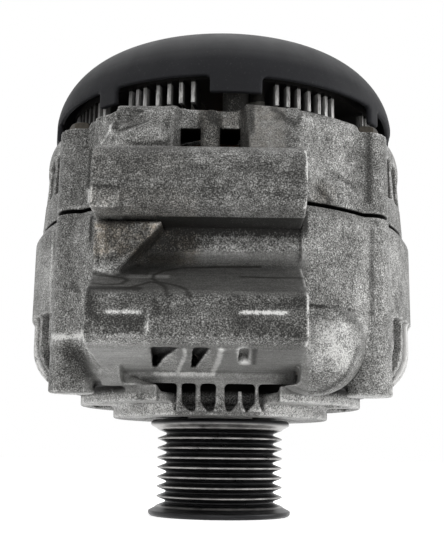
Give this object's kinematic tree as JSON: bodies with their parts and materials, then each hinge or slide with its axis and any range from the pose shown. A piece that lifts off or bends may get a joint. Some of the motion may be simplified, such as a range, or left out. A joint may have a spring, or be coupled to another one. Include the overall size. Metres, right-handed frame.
{
  "type": "alternator",
  "caption": "Belt-driven vehicle alternator with a ribbed-belt pulley, cast two-part housing, two through-bored mounting barrels and a slotted plastic rear cover.",
  "frame": {"origin": "centre of the pulley's outer face, on the shaft's axis", "axes": "+Z along the shaft from the pulley to the rear cover, -Y towards the mounting barrels, +X along the mounting bolts, to the right when the barrels face the viewer and the pulley is down"},
  "size_m": [0.146, 0.1657, 0.19],
  "materials": {
    "cast_housing": "rough cast, with smooth machined faces",
    "plate_aluminium": "plain rolled",
    "cover_plastic": "fine moulded grain",
    "moulding": "plain moulded",
    "pulley_coat": "thin black coat, worn bright on the ridge tips",
    "plain_steel": "turned",
    "plated_steel": "plated",
    "bearing_steel": "ground",
    "pole_steel": "plain",
    "copper": "enamelled copper",
    "seal_rubber": "matte",
    "brush_carbon": "carbon"
  },
  "bodies": {
    "housing": {"front_housing": "cast_housing", "rear_housing": "cast_housing", "rear_cover": "cover_plastic", "cover_screws": "plated_steel", "through_bolts": "plated_steel", "stator_core": "pole_steel", "stator_winding": "copper", "front_bearing_outer_race": "bearing_steel", "front_bearing_seals": "seal_rubber", "rear_bearing_outer_race": "bearing_steel", "rear_bearing_seals": "seal_rubber", "front_bearing_retainer": "plain_steel", "retainer_screws": "plated_steel", "rear_bearing_sleeve": "moulding", "rectifier_negative_plate": "plate_aluminium", "rectifier_positive_plate": "plate_aluminium", "rectifier_spacers": "moulding", "rectifier_diodes": "plated_steel", "rectifier_terminal_plate": "moulding", "rectifier_screws": "plated_steel", "output_stud": "plated_steel", "output_collar": "cover_plastic", "output_nut": "plated_steel", "regulator": "moulding", "regulator_screws": "plated_steel", "socket_pins": "copper", "lower_brush_spring": "plated_steel", "upper_brush_spring": "plated_steel"},
    "rotor": {"pulley": "pulley_coat", "pulley_washer": "plated_steel", "pulley_nut": "plated_steel", "pulley_spacer": "plain_steel", "rotor_shaft": "plain_steel", "front_bearing_inner_race": "bearing_steel", "rear_bearing_inner_race": "bearing_steel", "front_claw_pole": "pole_steel", "rear_claw_pole": "pole_steel", "coil_bobbin": "moulding", "field_coil": "copper", "front_fan": "plain_steel", "rear_fan": "plain_steel", "slip_ring_carrier": "moulding", "lower_slip_ring": "copper", "upper_slip_ring": "copper"},
    "front_ball_set": {"front_bearing_balls": "bearing_steel", "front_bearing_cage": "plain_steel"},
    "rear_ball_set": {"rear_bearing_balls": "bearing_steel", "rear_bearing_cage": "plain_steel"},
    "lower_brush_slider": {"lower_brush": "brush_carbon"},
    "upper_brush_slider": {"upper_brush": "brush_carbon"}
  },
  "joints": [
    {"name": "rotor_spin", "type": "hinge", "parent": "housing", "child": "rotor", "pos_m": [0, 0, 0.097], "axis": [0, 0, 1], "continuous": true},
    {"name": "front_ball_orbit", "type": "hinge", "parent": "housing", "child": "front_ball_set", "pos_m": [0, 0, 0.0455], "axis": [0, 0, 1], "continuous": true},
    {"name": "rear_ball_orbit", "type": "hinge", "parent": "housing", "child": "rear_ball_set", "pos_m": [0, 0, 0.134], "axis": [0, 0, 1], "continuous": true},
    {"name": "lower_brush_slide", "type": "slide", "parent": "housing", "child": "lower_brush_slider", "axis": [0, 1, 0], "range_m": [0, 0.004], "stiffness_N_per_m": 20, "springref_m": -0.003, "deforming": ["lower_brush_spring"]},
    {"name": "upper_brush_slide", "type": "slide", "parent": "housing", "child": "upper_brush_slider", "axis": [0, 1, 0], "range_m": [0, 0.004], "stiffness_N_per_m": 20, "springref_m": -0.003, "deforming": ["upper_brush_spring"]}
  ],
  "couplings": [
    {"joint": "front_ball_orbit", "follows": "rotor_spin", "ratio": 0.36562},
    {"joint": "rear_ball_orbit", "follows": "rotor_spin", "ratio": 0.384}
  ]
}
